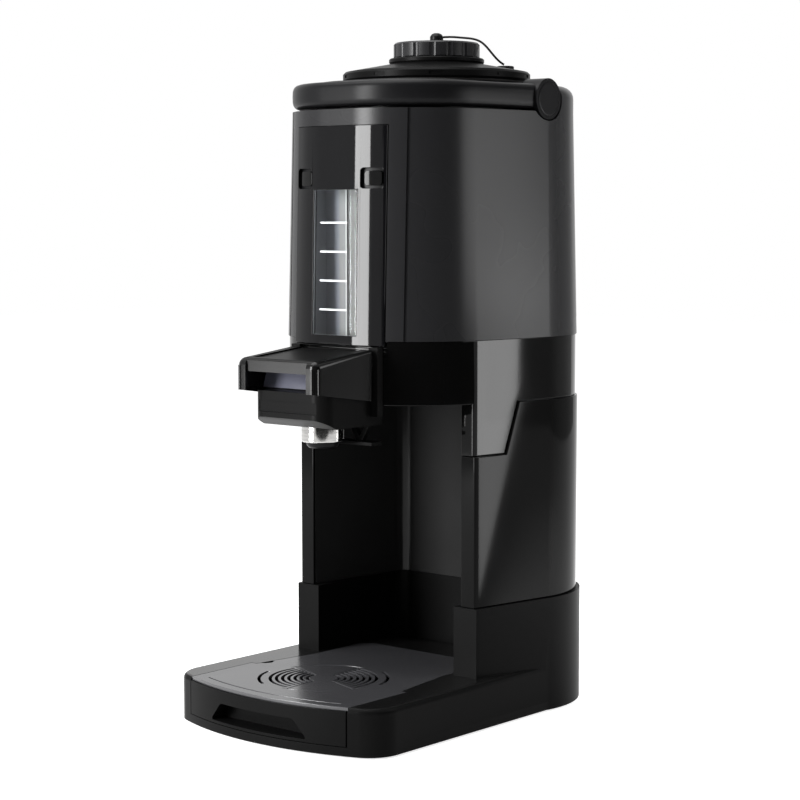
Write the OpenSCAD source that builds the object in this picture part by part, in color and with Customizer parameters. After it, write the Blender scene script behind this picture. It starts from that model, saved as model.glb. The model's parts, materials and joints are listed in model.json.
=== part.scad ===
// Gravity-feed thermal drink dispenser on a stand, with push-lever tap and drip tray.
// Millimetres. +Z is up, the tap faces -Y, the floor is z = 0.
// Modules work in the lid's frame (lid axis at x = 0, y = 0) and are shifted by axis_y at the end.

/* [Body plan] */
// Half width of the body at its lower edge
body_half_w = 116.5; // [114:0.5:122]
// Radius of the two rear corners of the plan
rear_r = 84.5; // [80:0.5:90]
// Distance of the rear corner centres behind the lid axis
rear_y = 30; // [26:1:38]
// Radius of the two front corners of the plan
nose_r = 86; // [82:0.5:90]
// Half spacing of the front corner centres
nose_x = 17; // [12:1:22]
// Distance of the front corner centres ahead of the lid axis
nose_y = 53; // [48:1:58]
// How much the body draws in from its lower to its upper edge
body_taper = 4.5; // [2:0.5:7]
// Wall of the body shell
body_wall = 2.6; // [2:0.2:3.2]
// Half width of the front panel between its two seams
panel_half_w = 66.7; // [60:0.5:72]
// Height of the matte band above the gauge cover
band_h = 14; // [10:1:20]

/* [Heights] */
// Thickness of the plinth plate under the stand
plinth_h = 7.5; // [6:0.5:10]
// Height of the platform above the plinth
platform_h = 33; // [30:1:38]
// Height of the lower stand above the plinth
skirt_h = 94; // [85:1:105]
// Height of the column above the lower stand
column_h = 178; // [165:1:195]
// Height of the lower housing between the stand and the body shell
collar_h = 55; // [50:1:62]
// Height of the body shell
body_h = 198; // [185:1:215]
// Height of the folded handle and of the rear shoulder
handle_h = 22; // [20:1:26]

/* [Stand] */
// Distance from the lid axis to the platform's front
platform_front = 242; // [232:1:252]
// Half width of the platform
platform_half_w = 119; // [115:0.5:121]
// how far the platform's sides run back past the lid's axis, to meet the lower stand
platform_tail = 12; // [10:0.5:16]
// Radius of the platform's curved front
front_arc_r = 270; // [240:5:320]
// Radius of the platform's front corners
front_corner_r = 30; // [22:1:38]
// Rounding of the platform's upper edge
platform_round = 5; // [3:0.5:7]
// How far the lower stand stands proud of the body plan
skirt_grow = 4.5; // [3:0.5:6]
// Wall of the stand's shells
stand_wall = 3; // [2.4:0.2:4]
// Distance of the legs' front faces ahead of the lid axis
leg_front = 72; // [66:1:78]
// Half width of the bay between the legs at the front
bay_half_w = 87; // [84:0.5:90]
// Half width of the bay at its back panel
bay_rear_half_w = 78; // [72:0.5:82]
// Distance of the bay's back panel behind the lid axis
bay_back = 45; // [36:1:54]
// Corner radius of the bay's back panel
bay_corner_r = 12; // [8:1:16]
// Half width of the bay at the lower stand
bay_low_half_w = 80; // [78:0.5:83]
// Height of the lower housing's front legs below the seat
collar_leg_h = 45; // [35:1:55]
// Distance of the slanted seam's top ahead of the lid axis
collar_leg_back = 20; // [14:1:26]
// Slope of the slanted seam, measured along the lid-to-tap direction
collar_leg_slope = 15; // [8:1:22]
// Radius of a rubber foot
foot_r = 10; // [8:0.5:13]
// How far the feet stand below the plinth
foot_drop = 1.5; // [1:0.25:3]

/* [Drip tray] */
// Half width of the drip cover in front of the legs
cover_half_w = 91; // [86:0.5:95]
// Half width of the drip cover between the legs
cover_rear_half_w = 74; // [70:0.5:76]
// Distance of the drip cover's step ahead of the lid axis
cover_step = 150; // [140:1:160]
// Distance of the drip cover's rear edge ahead of the lid axis
cover_rear = 14; // [8:1:24]
// Thickness of the drip cover
cover_t = 3; // [2.4:0.2:4]
// Wall of the drip drawer
drawer_wall = 2.4; // [2:0.2:3.2]
// Width of a drain slot
slot_w = 2.8; // [2.4:0.2:3.2]
// Distance between drain slots
slot_pitch = 5.4; // [5:0.1:6]
// Number of drain slots in each sector
slot_count = 7; // [5:1:8]
// Radius of the first drain slot
slot_first_r = 14; // [10:1:18]
// Half angle of a sector of drain slots
slot_half_angle = 52; // [40:1:60]
// Turn of the slot sectors about the nozzle axis
slot_turn = 38; // [0:1:90]

/* [Tap] */
// Distance of the nozzle ahead of the lid axis
nozzle_y = 154; // [150:1:158]
// Outer radius of the chrome nozzle
nozzle_r = 18.5; // [17:0.5:20]
// Length of the chrome nozzle below the tap housing
nozzle_l = 15; // [12:1:18]
// Half width of the push lever
lever_half_w = 46.5; // [44:0.5:49]
// Width of the lever's cheeks beside its front lip
lever_cheek = 11.5; // [9:0.5:13]
// Reach of the push lever ahead of the lid axis
lever_front = 213; // [207:1:219]
// Height of the lever's side walls at the front
lever_h = 27.5; // [25:0.5:30]
// Height of the lever's front lip
lever_lip_h = 11.5; // [9:0.5:14]
// Fall of the lever's top from back to front
lever_fall = 6; // [3:0.5:9]
// Wall of the lever
lever_wall = 3; // [2.4:0.2:3.6]
// Corner rounding of the lever
lever_round = 7; // [5:0.5:8]
// Half width of the tap housing
tap_half_w = 42; // [39:0.5:42]
// Reach of the tap housing ahead of the lid axis
tap_front = 199; // [195:1:203]
// Depth of the tap housing below the seat of the container
tap_drop = 17; // [14:1:22]
// Radius of the lever pin
pin_r = 2.5; // [2:0.25:3]

/* [Gauge] */
// Half width of the level gauge cover, between the matte bands of the front panel
gauge_cover_half_w = 51.5; // [48:0.5:55]
// Half width of the level window
window_half_w = 25.5; // [22:0.5:29]
// Height of the level window
window_h = 125; // [110:1:135]
// Height of the window's lower edge above the body's lower edge
window_low = 4; // [3:0.5:10]
// Outer radius of the sight tube
tube_r = 5; // [4:0.25:6]
// Sideways place of the sight tube
tube_x = 8.5; // [4:0.5:13]
// Distance between two level marks
mark_pitch = 25; // [20:0.5:28]
// Width of a finger recess in the gauge cover
recess_w = 21; // [17:0.5:22]
// Height of a finger recess
recess_h = 17.5; // [14:0.5:20]

/* [Lid and handle] */
// How far the lid's rim stays inside the body's width
lid_margin = 31.9; // [30.5:0.1:34.5]
// Thickness of the lid's rim
lid_rim_h = 9; // [7:0.5:11]
// Rise of the lid's cone from rim to neck
lid_cone_h = 7; // [5:0.5:10]
// Radius of the neck flange
flange_r = 43; // [41:0.5:46]
// Height of the neck flange
flange_h = 5.5; // [4:0.5:7]
// Radius of the fill cap
cap_r = 38.8; // [36.5:0.2:40]
// Height of the fill cap's grip
cap_h = 13.4; // [12:0.2:16]
// Number of flutes around the fill cap
cap_flutes = 16; // [12:1:24]
// Width of the handle band
handle_w = 19.5; // [17:0.5:21]
// Radius of the handle hubs
hub_r = 18; // [16:0.5:19]
// Distance of the handle pivot behind the lid axis
hub_y = 20; // [14:1:26]
// How far the handle hubs stay inside the body's width
hub_inset = 5.5; // [4.5:0.25:8]
// Radius of the handle pivot pins
pivot_r = 5; // [4:0.25:6]
// Outer radius of the vacuum vessel
vessel_r = 97; // [92:0.5:99]
// Wall of each vessel skin
vessel_wall = 1.2; // [0.8:0.1:1.6]
// Diameter of the cap tether
tether_d = 2; // [1.6:0.1:2.4]

/* [Hidden] */
$fn = 96;
clear = 0.6;
seam = 0.4;
eps = 0.01;
far = 400;
deg_step = 15;

// Plan outline
rear_x = body_half_w - rear_r;
side_len = norm([rear_x - nose_x, rear_y + nose_y]);
side_dir = [rear_x - nose_x, rear_y + nose_y] / side_len;
side_lean = (nose_r - rear_r) / side_len;
side_normal = [side_dir.y, -side_dir.x] * sqrt(1 - side_lean * side_lean) + side_dir * side_lean;
rear_end = rear_y + rear_r + skirt_grow;
axis_y = (platform_front - rear_end) / 2;

// Heights above the floor
plinth_top = foot_drop + plinth_h;
platform_top = plinth_top + platform_h;
skirt_top = plinth_top + skirt_h;
seat_z = skirt_top + column_h;
leg_z = seat_z - collar_leg_h;
body_z0 = seat_z + collar_h;
body_z1 = body_z0 + body_h;
band_z0 = body_z1 - band_h;
handle_gap = 2;
handle_z0 = body_z1 + handle_gap;
handle_z1 = handle_z0 + handle_h;
ring_z = handle_z1 + 2;
hub_z = handle_z0 + handle_h / 2 - 2;
lid_gap = 2;
lid_z0 = ring_z + lid_gap;
lid_z1 = lid_z0 + lid_rim_h;
flange_z0 = lid_z1 + lid_cone_h;
flange_z1 = flange_z0 + flange_h;
cap_z0 = flange_z1 + clear;
cap_z1 = cap_z0 + cap_h;
cap_dome = 1.6;
deck_t = 3;
floor_t = 3;

// Platform front
front_arc_y = front_arc_r - platform_front;
corner_x = platform_half_w - front_corner_r;
corner_y = front_arc_y - sqrt(pow(front_arc_r - front_corner_r, 2) - corner_x * corner_x);

// Drip tray
cover_lip = 2;
cover_z0 = platform_top - cover_t;
cover_notch = 6;
cover_taper_y = leg_front + 8;
cover_chamfer = 8;
drawer_z0 = plinth_top + clear;
drawer_half_w = cover_half_w - clear;

// Tap
nose_front = nose_y + nose_r;
lever_top = body_z0 - 7;
lever_back = nose_front + 2;
lever_rear_round = 2.5;
lever_rear_h = 44;
lever_low = lever_top - lever_rear_h;
lever_front_low = lever_top - lever_fall - lever_h;
pin_y = lever_back + 4;
pin_z = lever_low + 5;
pin_cover = 2;
tap_low = seat_z - tap_drop;
tap_top = lever_top - 19;
tap_chamfer = 8;
ledge_z = lever_front_low;
ledge_d = 15;
ledge_lean = 4;
plate_t = 1;
bracket_half_w = 40;
bracket_y0 = nose_front - 3;
bracket_y1 = nose_front - 17;
bracket_t = 3;
nozzle_z0 = tap_low - nozzle_l;
nozzle_wall = 3;
pipe_r = 9;
pipe_bore_r = 6;
pipe_z = seat_z + 16;
pipe_nut_r = 14;
pipe_nut_t = 5;
stem_r = 4;
valve_r = 11;
valve_roof = pipe_z + pipe_r;
seat_low = tap_low + 8;
seat_high = seat_low + 3;
seal_r = 10;
seat_r = seal_r - 2.2;
spring_h = 20;
spring_wire = 1.4;
spring_r = 7.5;
spring_turns = 6;
stem_collar_r = 9.5;

// Gauge
panel_low = body_z0 - 4;
panel_gap = 0.5;
window_z0 = body_z0 + window_low;
recess_z0 = window_z0 + window_h + 1;
recess_x = gauge_cover_half_w - 13;
opening_half_w = gauge_cover_half_w + panel_gap;
panel_groove = 1.2;
tube_y = nose_front - 15;
tube_wall = 1.5;
frame_t = 2.4;
gauge_wall = 2;
gauge_half_w = window_half_w + 6;
gauge_z0 = window_z0 - 7;
gauge_z1 = window_z0 + window_h + 7;
gauge_back = tube_y - tube_r - 3;
mark_left = -19;
mark_right = 12;
mark_h = 1.6;

// Lid and handle
lid_r = body_half_w - lid_margin;
hub_half_w = body_half_w - hub_inset;
hub_l = 21;
band_inset = handle_w + 3;
vessel_z0 = body_z0 + 8;
vessel_gap = 6;
neck_weld_z = body_z1 - 34;
mouth_weld_z = body_z1 - 10;
neck_r = lid_r - 5.6;
neck_fit = 0.6;
ring_wall = 3;
hub_in = hub_half_w - hub_l;
hub_fit = 1.2;
handle_round = 0.62;
handle_steps = 14;
handle_ring = 24;
plug_r = neck_r - 2.5;
plug_h = 14;
fill_r = 28;
neck_out_r = 33;
cap_roof = cap_z0 + 10;
neck_top = cap_roof - 2.2;
knob_h = 7.5;
knob_r = 6;
tether_r = tether_d / 2;
anchor_r = 62;
anchor_turn = 40;

// Body plan: two rear and two front corner circles joined by their tangents
module plan(grow = 0) {
    nose = nose_r + grow;
    rear = rear_r + grow;
    tn = [nose_x, -nose_y] + side_normal * nose;
    tr = [rear_x, rear_y] + side_normal * rear;
    polygon([[nose_x, -nose_y - nose], tn, tr, [rear_x, rear_y + rear],
        [-rear_x, rear_y + rear], [-tr.x, tr.y], [-tn.x, tn.y], [-nose_x, -nose_y - nose]]);
    for (side = [-1, 1]) {
        translate([side * nose_x, -nose_y]) circle(nose);
        translate([side * rear_x, rear_y]) circle(rear);
    }
}

// Straight block on the body plan
module plan_block(grow, z0, z1) {
    translate([0, 0, z0]) linear_extrude(z1 - z0) plan(grow);
}

// Draughted block on the body plan, the full height of the body shell and over past both ends
module draughted(grow, over = 0) {
    slope = body_taper / body_h;
    hull() {
        translate([0, 0, body_z0 - over]) linear_extrude(eps) plan(grow + over * slope);
        translate([0, 0, body_z1 + over - eps]) linear_extrude(eps) plan(grow - body_taper - over * slope);
    }
}

// Band on the upper plan with rounded edges
module rounded_band(grow, z0, z1, round_r) {
    hull()
        for (a = [0 : deg_step : 90]) {
            inset = round_r * (1 - cos(a));
            lift = round_r * (1 - sin(a));
            translate([0, 0, z0 + lift]) linear_extrude(z1 - z0 - 2 * lift) plan(grow - inset);
        }
}

// Axis-aligned box from two corners
module box(low, high) {
    translate(low) cube(high - low);
}

// Cylinder along X between two x values
module x_rod(r, x0, x1, y, z) {
    translate([x0, y, z]) rotate([0, 90, 0]) cylinder(r = r, h = x1 - x0);
}

// Cylinder along Y between two y values
module y_rod(r, y0, y1, x, z) {
    translate([x, y0, z]) rotate([-90, 0, 0]) cylinder(r = r, h = y1 - y0);
}

// Ring about the vertical axis
module ring(r_out, r_in, z0, z1) {
    translate([0, 0, z0]) difference() {
        cylinder(r = r_out, h = z1 - z0);
        translate([0, 0, -1]) cylinder(r = r_in, h = z1 - z0 + 2);
    }
}

// Platform plan: curved front, round front corners
module platform_plan(grow = 0) {
    reach = 1.4;
    intersection() {
        translate([0, front_arc_y]) circle(front_arc_r + grow);
        polygon([[0, front_arc_y], [-corner_x * reach, front_arc_y + (corner_y - front_arc_y) * reach],
            [corner_x * reach, front_arc_y + (corner_y - front_arc_y) * reach]]);
    }
    for (side = [-1, 1]) translate([side * corner_x, corner_y]) circle(front_corner_r + grow);
    translate([-platform_half_w - grow, corner_y]) square([2 * (platform_half_w + grow), platform_tail - corner_y]);
}

// Plinth plan: platform and lower stand together
module plinth_plan() {
    platform_plan();
    plan(skirt_grow);
}

// Bay between the legs, open to the front
module bay_plan(half_front, half_rear, grow = 0) {
    rear_c = bay_back - bay_corner_r;
    polygon([[-half_front - grow, -far], [half_front + grow, -far], [half_front + grow, -leg_front],
        [half_rear + grow, rear_c], [-half_rear - grow, rear_c], [-half_front - grow, -leg_front]]);
    for (side = [-1, 1]) translate([side * (half_rear - bay_corner_r), rear_c]) circle(bay_corner_r + grow);
    translate([-half_rear + bay_corner_r, rear_c])
        square([2 * (half_rear - bay_corner_r), bay_corner_r + grow]);
    translate([-half_rear + bay_corner_r, rear_c - bay_corner_r])
        square([2 * (half_rear - bay_corner_r), bay_corner_r + eps]);
}

module upper_bay(grow = 0) {
    bay_plan(bay_half_w, bay_rear_half_w, grow);
}

module lower_bay(grow = 0) {
    bay_plan(bay_low_half_w, bay_low_half_w, grow);
}

// Everything behind a plane across the plan
module behind(y) {
    translate([-far, y]) square([2 * far, far]);
}

// Side view of what belongs to the container: above the seat and in the front legs
module container_side(gap = 0) {
    rotate([90, 0, 90]) translate([0, 0, -far]) linear_extrude(2 * far)
        polygon([[-far, leg_z + gap], [-collar_leg_back - collar_leg_slope - gap, leg_z + gap],
            [-collar_leg_back - gap, seat_z + gap], [far, seat_z + gap], [far, far * 3], [-far, far * 3]]);
}

// Drip cover plan: wide in front of the legs, narrow between them
module cover_plan(grow = 0, front = cover_lip) {
    step_w = cover_half_w - cover_notch;
    right = [[cover_half_w + grow, -far], [cover_half_w + grow, -cover_step + grow],
        [step_w + grow, -cover_step + grow], [cover_rear_half_w + grow, -cover_taper_y],
        [cover_rear_half_w + grow, -cover_rear - cover_chamfer + grow],
        [cover_rear_half_w - cover_chamfer + grow, -cover_rear + grow]];
    left = [for (i = [len(right) - 1 : -1 : 0]) [-right[i].x, right[i].y]];
    intersection() {
        translate([0, front_arc_y]) circle(front_arc_r - front);
        polygon(concat(right, left));
    }
}

module feet_places() {
    for (side = [-1, 1]) {
        translate([side * (platform_half_w - 24), corner_y]) children();
        translate([side * (body_half_w - 38), rear_y + 28]) children();
    }
}

module screw_places() {
    for (side = [-1, 1]) {
        translate([side * (platform_half_w - 11), corner_y + 42]) children();
        translate([side * (body_half_w - 14), 0]) children();
    }
}

// Stand

module base_plate() {
    color("#141415") difference() {
        translate([0, 0, foot_drop]) linear_extrude(plinth_h) plinth_plan();
        translate([0, 0, foot_drop - 1]) linear_extrude(3) feet_places() circle(foot_r + clear / 4);
        translate([0, 0, foot_drop - 1]) linear_extrude(far) screw_places() circle(2);
        translate([0, 0, foot_drop - 1]) linear_extrude(4) screw_places() circle(4.2);
    }
}

module rubber_feet() {
    color("#1c1c1c") linear_extrude(foot_drop + 2) feet_places() circle(foot_r);
}

module base_screws() {
    color("#8c8f92") {
        translate([0, 0, foot_drop + 1.4]) linear_extrude(1.6) screw_places() circle(4);
        translate([0, 0, foot_drop + 3]) linear_extrude(plinth_h + 3) screw_places() circle(1.8);
    }
}

module stand_base() {
    leg_wall = platform_round;
    color("#171718") difference() {
        union() {
            hull() {
                translate([0, 0, plinth_top]) linear_extrude(platform_h - platform_round)
                    platform_plan();
                for (a = [0 : deg_step : 90])
                    translate([0, 0, platform_top - platform_round * (1 - sin(a)) - eps]) linear_extrude(eps)
                        platform_plan(-platform_round * (1 - cos(a)));
            }
            translate([0, 0, plinth_top]) linear_extrude(skirt_h) difference() {
                intersection() {
                    plan(skirt_grow);
                    behind(-leg_front - 1);
                }
                lower_bay();
            }
            translate([0, 0, plinth_top]) linear_extrude(platform_h - cover_t) intersection() {
                plan(skirt_grow);
                behind(-leg_front - 1);
            }
        }
        // way of the drawer and its cover
        translate([0, 0, plinth_top - 1]) linear_extrude(platform_h + 2) cover_plan(clear, -far / 4);
        // hollow of the skirt
        translate([0, 0, plinth_top - 1]) linear_extrude(skirt_h - stand_wall + 1) difference() {
            intersection() {
                plan(skirt_grow - stand_wall);
                behind(-leg_front + leg_wall);
            }
            lower_bay(stand_wall);
            screw_places() circle(5.5);
        }
        // hollow under the bay's floor, behind the drawer
        translate([0, 0, plinth_top - 1])
            linear_extrude(platform_h - cover_t - stand_wall + 1) intersection() {
            lower_bay(-stand_wall);
            behind(-cover_rear + stand_wall);
        }
        translate([0, 0, plinth_top - 1]) linear_extrude(8) screw_places() circle(1.8);
    }
}

module column_plan() {
    difference() {
        intersection() {
            plan(1);
            behind(-leg_front);
        }
        upper_bay();
    }
}

module stand_column() {
    color("#0c0c0d") difference() {
        translate([0, 0, skirt_top]) linear_extrude(column_h) difference() {
            column_plan();
            intersection() {
                plan(1 - stand_wall);
                behind(-leg_front + stand_wall);
            }
        }
        container_side(-seam);
    }
}

module bay_liner() {
    color("#0e0e0f") difference() {
        translate([0, 0, skirt_top]) linear_extrude(column_h - seam) intersection() {
            difference() {
                upper_bay(stand_wall);
                upper_bay();
            }
            behind(-leg_front + stand_wall);
        }
        container_side(-seam);
    }
}

module stand_deck() {
    color("#1a1a1b") translate([0, 0, seat_z - 2 * deck_t]) linear_extrude(2 * deck_t) difference() {
        intersection() {
            plan(1 - stand_wall);
            behind(-collar_leg_back + 4);
        }
        upper_bay(stand_wall);
    }
}

// Drip tray

module drip_drawer() {
    finger_top = 42;
    finger_low = 54;
    finger_h = 16;
    finger_d = 20;
    finger_round = 6;
    front_t = 24;
    color("#151516") difference() {
        union() {
            translate([0, 0, drawer_z0]) linear_extrude(cover_z0 - drawer_z0)
                cover_plan(-2 * drawer_wall, 2 * front_t);
            translate([0, 0, drawer_z0]) linear_extrude(cover_z0 - drawer_z0) intersection() {
                platform_plan();
                translate([-drawer_half_w, -far])
                    square([2 * drawer_half_w, far - platform_front + 40 + front_t]);
            }
        }
        // tub
        translate([0, 0, drawer_z0 + drawer_wall]) linear_extrude(platform_h)
            cover_plan(-3 * drawer_wall, front_t + drawer_wall);
        // finger recess under the front
        translate([0, -platform_front + finger_d, drawer_z0 + drawer_wall]) rotate([90, 0, 0])
            linear_extrude(far)
                intersection() {
                    offset(r = finger_round) offset(delta = -finger_round)
                        polygon([[-finger_low - finger_h, -finger_h], [finger_low + finger_h, -finger_h],
                            [finger_top, finger_h], [-finger_top, finger_h]]);
                    translate([-finger_low, 0]) square([2 * finger_low, 2 * finger_h]);
                }
    }
}

// Ring segment of a drain slot
module slot_arc(r, width, from, to) {
    reach = 2 * r;
    intersection() {
        difference() {
            circle(r + width / 2);
            circle(r - width / 2);
        }
        polygon(concat([[0, 0]],
            [for (i = [0 : 4]) let (a = from + (to - from) * i / 4) reach * [cos(a), sin(a)]]));
    }
}

module drip_cover() {
    slot_last_r = slot_first_r + slot_pitch * (slot_count - 1);
    outer_slot_r = slot_last_r + 1.8 * slot_pitch;
    finger_r = 7;
    color("#5a5b5d") difference() {
        translate([0, 0, cover_z0]) linear_extrude(cover_t) cover_plan();
        translate([0, -nozzle_y, cover_z0 - 1]) linear_extrude(cover_t + 2) rotate(slot_turn)
            for (half = [0, 180]) rotate(half) {
                for (i = [0 : slot_count - 1])
                    slot_arc(slot_first_r + i * slot_pitch, slot_w, -slot_half_angle, slot_half_angle);
                slot_arc(outer_slot_r, slot_w, -slot_half_angle / 2, slot_half_angle / 2);
            }
        // shallow rings, radial lines and front groove
        translate([0, -nozzle_y, platform_top - 0.6]) linear_extrude(2) {
            slot_arc(slot_last_r + slot_pitch, 1.2,
                slot_turn + slot_half_angle, slot_turn + 180 - slot_half_angle);
            slot_arc(slot_last_r + slot_pitch, 1.2, slot_turn + 180 + slot_half_angle,
                slot_turn + 360 - slot_half_angle);
            for (half = [0, 180], edge = [-1, 1])
                rotate(slot_turn + half + edge * (slot_half_angle + 5))
                    translate([slot_first_r, -0.5]) square([slot_last_r - slot_first_r + slot_pitch, 1]);
        }
        translate([0, 0, platform_top - 0.8]) linear_extrude(2) intersection() {
            translate([0, front_arc_y]) difference() {
                circle(front_arc_r - 12);
                circle(front_arc_r - 13.4);
            }
            translate([-cover_half_w + 14, -far]) square([2 * cover_half_w - 28, far - nozzle_y]);
        }
        // finger notch at the left edge
        translate([-cover_half_w + cover_notch, -cover_step + 12, cover_z0 - 1])
            cylinder(r = finger_r, h = cover_t + 2);
    }
}

// Container

module collar_leg(inset, z0, z1) {
    translate([0, 0, z0]) linear_extrude(z1 - z0) difference() {
        intersection() {
            plan(-1 - inset);
            behind(-leg_front + inset);
        }
        upper_bay(inset);
    }
}

module lower_collar() {
    step_h = 3.2;
    step_d = 0.8;
    color("#0b0b0c") difference() {
        union() {
            difference() {
                plan_block(-1, seat_z, body_z0);
                plan_block(-1 - stand_wall, seat_z - 1, body_z0 + 1);
            }
            intersection() {
                difference() {
                    collar_leg(0, leg_z, seat_z);
                    collar_leg(stand_wall, leg_z + stand_wall, seat_z + 1);
                }
                container_side(0);
                box([-far, -far, 0], [far, -collar_leg_back, far]);
            }
        }
        // thin steps under the gauge cover
        for (i = [1, 2])
            translate([0, 0, panel_low - step_h * i]) linear_extrude(step_d) difference() {
                translate([-opening_half_w, -far]) square([2 * opening_half_w, far - nose_y]);
                plan(-1 - step_d);
            }
        // room for the lower edge of the gauge cover
        box([-opening_half_w, -far, panel_low - panel_gap], [opening_half_w, -nose_y, body_z0 + 1]);
        // outlet pipe
        y_rod(pipe_r + clear / 2, -nose_front - 1, -nose_y, 0, pipe_z);
    }
}

module floor_screw_places() {
    for (a = [0 : 60 : 300]) rotate(a) translate([vessel_r - 22, 0]) children();
}

module container_floor() {
    color("#19191a") difference() {
        plan_block(-1 - stand_wall, seat_z, seat_z + floor_t);
        translate([0, 0, seat_z - 1]) linear_extrude(floor_t + 2) floor_screw_places() circle(1.7);
        translate([0, 0, seat_z - 1]) linear_extrude(2.4) floor_screw_places() circle(3.6);
    }
}

module floor_screws() {
    color("#8c8f92") {
        translate([0, 0, seat_z + 0.2]) linear_extrude(1.2) floor_screw_places() circle(3.4);
        translate([0, 0, seat_z + 1.4]) linear_extrude(floor_t + 6) floor_screw_places() circle(1.6);
    }
}

module vessel_cradle() {
    cradle_t = 10;
    color("#222224") difference() {
        union() {
            ring(vessel_r - 22 + cradle_t / 2, vessel_r - 22 - cradle_t / 2, seat_z + floor_t, vessel_z0);
            ring(vessel_r - 8, vessel_r - 22, vessel_z0 - 4, vessel_z0);
        }
        translate([0, 0, seat_z + floor_t - 1]) linear_extrude(10) floor_screw_places() circle(1.6);
        // way of the outlet pipe
        box([-pipe_nut_r - 2, -vessel_r - 1, seat_z], [pipe_nut_r + 2, -vessel_r + 50, vessel_z0 + 1]);
    }
}

// Wall between two draughted blocks
module draughted_wall(outer, inner) {
    difference() {
        draughted(outer);
        draughted(inner, 1);
    }
}

module body_shell() {
    shoulder_y = hub_y + hub_r / 2;
    hollow_y = hub_y + hub_r + hub_fit + body_wall;
    shoulder_round = 11;
    step_in = 0.4;
    color("#1b1b1d") difference() {
        union() {
            draughted(0);
            // raised shoulder behind the handle hubs
            intersection() {
                rounded_band(-body_taper, body_z1 - 2 * shoulder_round, handle_z1, shoulder_round);
                box([-far, shoulder_y, body_z1 - 1], [far, far, 2 * far]);
            }
        }
        draughted(-body_wall, 1);
        intersection() {
            plan_block(-body_taper - body_wall - step_in, body_z1 + step_in, handle_z1 - shoulder_round + 2);
            box([-far, hollow_y, 0], [far, far, 2 * far]);
        }
        plan_block(-body_taper - handle_w, body_z1 + step_in, handle_z1 + 1);
        box([-opening_half_w, -far, 0], [opening_half_w, -nose_y, band_z0]);
        // seams of the front panel
        difference() {
            for (side = [-1, 1])
                box([side * panel_half_w - panel_groove, -far, 0],
                    [side * panel_half_w + panel_groove, -nose_y, far * 2]);
            draughted(-body_wall / 2, 2);
        }
        for (side = [-1, 1])
            translate([side * (hub_in - hub_fit), hub_y, hub_z]) rotate([0, side * 90, 0])
                cylinder(r = hub_r + hub_fit, h = far / 2);
    }
}

module front_frame() {
    color("#101011") difference() {
        intersection() {
            draughted_wall(-body_wall, -body_wall - frame_t);
            box([-opening_half_w - 5, -far, body_z0], [opening_half_w + 5, -nose_y, band_z0 + 5]);
        }
        box([-window_half_w - 2, -far, window_z0 - 2],
            [window_half_w + 2, -nose_y, window_z0 + window_h + 2]);
        // room for the tube seals
        box([tube_x - tube_r - gauge_wall - clear, -far, gauge_z0 - 3],
            [tube_x + tube_r + gauge_wall + clear, -nose_y, gauge_z1 + 3]);
    }
}

module gauge_plate() {
    color("#4d5054") intersection() {
        draughted(-body_wall - frame_t);
        difference() {
            box([-gauge_half_w, -far, gauge_z0], [gauge_half_w, -gauge_back + gauge_wall, gauge_z1]);
            box([-gauge_half_w + gauge_wall, -far, gauge_z0 + gauge_wall],
                [gauge_half_w - gauge_wall, -gauge_back, gauge_z1 - gauge_wall]);
            translate([tube_x, -tube_y, 0]) cylinder(r = tube_r + gauge_wall, h = far * 2);
        }
    }
}

module sight_tube() {
    color("#e8f0f2", 0.4) translate([tube_x, -tube_y, gauge_z0 - 6]) difference() {
        cylinder(r = tube_r, h = gauge_z1 - gauge_z0 + 12);
        translate([0, 0, -1]) cylinder(r = tube_r - tube_wall, h = far);
    }
}

module tube_seals() {
    color("#2a2a2a") for (z = [gauge_z0 - 1, gauge_z1 - gauge_wall - 1])
        translate([tube_x, -tube_y, 0]) ring(tube_r + gauge_wall, tube_r, z, z + gauge_wall + 2);
}

// Finger recess outline on the front, with rounded corners
module recess(grow, depth_back) {
    corner = 3;
    for (side = [-1, 1])
        translate([side * recess_x, -depth_back, recess_z0]) rotate([90, 0, 0]) linear_extrude(far) {
            half = recess_w / 2 + grow;
            translate([-half + corner, -grow]) square([2 * (half - corner), recess_h + 2 * grow]);
            translate([-half, corner - grow]) square([2 * half, recess_h - 2 * corner + 2 * grow]);
            for (cx = [-half + corner, half - corner], cy = [corner - grow, recess_h - corner + grow])
                translate([cx, cy]) circle(corner);
        }
}

module gauge_cover() {
    proud = 1;
    over = body_z0 - panel_low + 1;
    side = gauge_cover_half_w;
    color("#0a0a0b") difference() {
        intersection() {
            difference() {
                draughted(proud, over);
                draughted(-body_wall + seam, over + 1);
            }
            box([-side, -far, panel_low], [side, -nose_y, band_z0 - panel_gap]);
        }
        box([-window_half_w, -far, window_z0], [window_half_w, -nose_y, window_z0 + window_h]);
        recess(0, nose_y);
    }
}

module gauge_latches() {
    latch_inset = 0.8;
    color("#0d0d0e") intersection() {
        draughted_wall(-latch_inset, -body_wall);
        recess(-clear * 4, nose_y);
    }
}

module gauge_window() {
    window_seat = 0.15;
    color("#cfd6d8", 0.35) intersection() {
        draughted_wall(0.3, -1.5);
        box([-window_half_w + window_seat, -far, window_z0 + window_seat],
            [window_half_w - window_seat, -nose_y, window_z0 + window_h - window_seat]);
    }
}

module level_marks() {
    mark_t = 0.4;
    mark_first = window_z0 + 21;
    color("#f2f2f0") intersection() {
        draughted_wall(-1.5, -1.5 - mark_t);
        for (i = [0 : 3])
            box([mark_left, -far, mark_first + i * mark_pitch],
                [mark_right, -nose_y, mark_first + i * mark_pitch + mark_h]);
    }
}

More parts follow.
